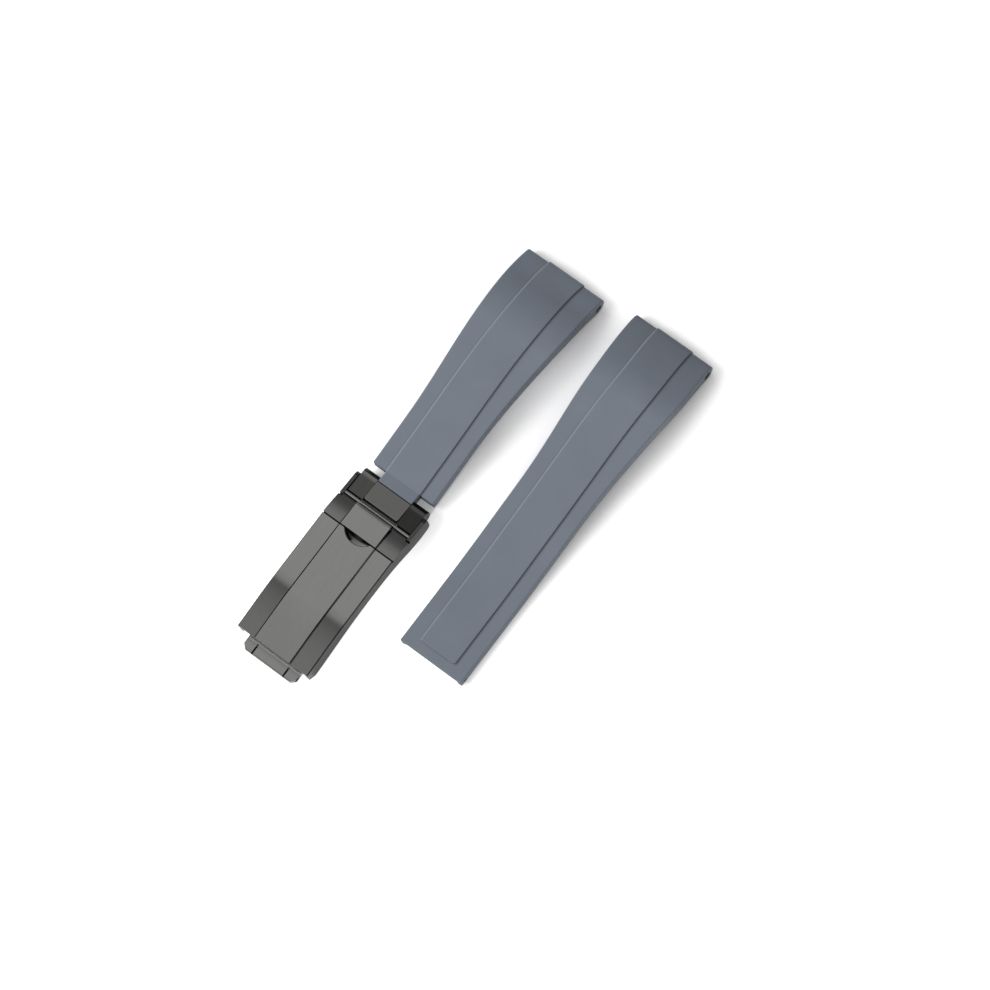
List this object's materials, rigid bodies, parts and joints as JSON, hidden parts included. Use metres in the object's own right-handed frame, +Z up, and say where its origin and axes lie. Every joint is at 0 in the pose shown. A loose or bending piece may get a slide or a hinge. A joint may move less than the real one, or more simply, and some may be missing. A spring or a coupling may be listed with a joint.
{
  "type": "rubber dive strap",
  "caption": "Two-piece rubber watch strap with raised centre band and a three-blade folding safety clasp with sliding extension.",
  "frame": {"origin": "centre of the whole layout on the table it lies on", "axes": "+X along both straps towards their lug ends, +Y from the loose half to the half with the clasp, +Z up from the table"},
  "size_m": [0.1068, 0.0474, 0.0097],
  "materials": {
    "strap_rubber": "satin moulded",
    "dark_steel": "dark coated, brushed",
    "black_steel": "black coated, satin",
    "inner_steel": "dark coated, satin"
  },
  "bodies": {
    "lower_blade": {"lower_blade": "inner_steel", "left_lug": "black_steel", "right_lug": "black_steel", "catch_pin": "inner_steel", "fold_pin": "inner_steel", "spring_bar_barrel": "inner_steel", "spring_bar_spring": "inner_steel"},
    "middle_blade": {"middle_blade": "inner_steel"},
    "cover": {"cover_shell": "dark_steel", "cover_pin": "inner_steel", "flap_pin": "dark_steel", "adjustment_rack": "inner_steel", "slider_guide_left": "inner_steel", "slider_guide_right": "inner_steel"},
    "safety_flap": {"safety_flap": "dark_steel", "flap_catch": "inner_steel"},
    "slider": {"slider_plate": "inner_steel", "extension_link": "dark_steel", "slider_rivets": "inner_steel"},
    "strap_short": {"strap_short": "strap_rubber", "tongue_link": "dark_steel"},
    "spring_bar_tip_left": {"spring_bar_tip_left": "inner_steel"},
    "spring_bar_tip_right": {"spring_bar_tip_right": "inner_steel"},
    "strap_long": {"strap_long": "strap_rubber"}
  },
  "joints": [
    {"name": "fold_hinge", "type": "hinge", "parent": "lower_blade", "child": "middle_blade", "pos_m": [-0.0472, 0.01375, 0.0011], "axis": [0, -1, 0], "range_deg": [0, 160]},
    {"name": "cover_hinge", "type": "hinge", "parent": "middle_blade", "child": "cover", "pos_m": [-0.0203, 0.01375, 0.0032], "axis": [0, -1, 0], "range_deg": [-160, 0]},
    {"name": "flap_hinge", "type": "hinge", "parent": "cover", "child": "safety_flap", "pos_m": [-0.0145, 0.01375, 0.0059], "axis": [0, 1, 0], "range_deg": [0, 95]},
    {"name": "extension_slide", "type": "slide", "parent": "cover", "child": "slider", "axis": [-1, 0, 0], "range_m": [0, 0.015]},
    {"name": "strap_hinge", "type": "hinge", "parent": "lower_blade", "child": "strap_short", "pos_m": [-0.0098, 0.01375, 0.0036], "axis": [0, 1, 0], "range_deg": [-25, 60]},
    {"name": "tip_left_slide", "type": "slide", "parent": "lower_blade", "child": "spring_bar_tip_left", "axis": [0, -1, 0], "range_m": [0, 0.0013], "stiffness_N_per_m": 300, "springref_m": -0.0005, "deforming": ["spring_bar_spring"]},
    {"name": "tip_right_slide", "type": "slide", "parent": "lower_blade", "child": "spring_bar_tip_right", "axis": [0, 1, 0], "range_m": [0, 0.0013], "stiffness_N_per_m": 300, "springref_m": -0.0005},
    {"name": "loose_half_lift", "type": "slide", "parent": "lower_blade", "child": "strap_long", "axis": [0, 0, 1], "range_m": [0, 0.03]}
  ],
  "couplings": [
    {"joint": "cover_hinge", "follows": "fold_hinge", "ratio": -1}
  ]
}
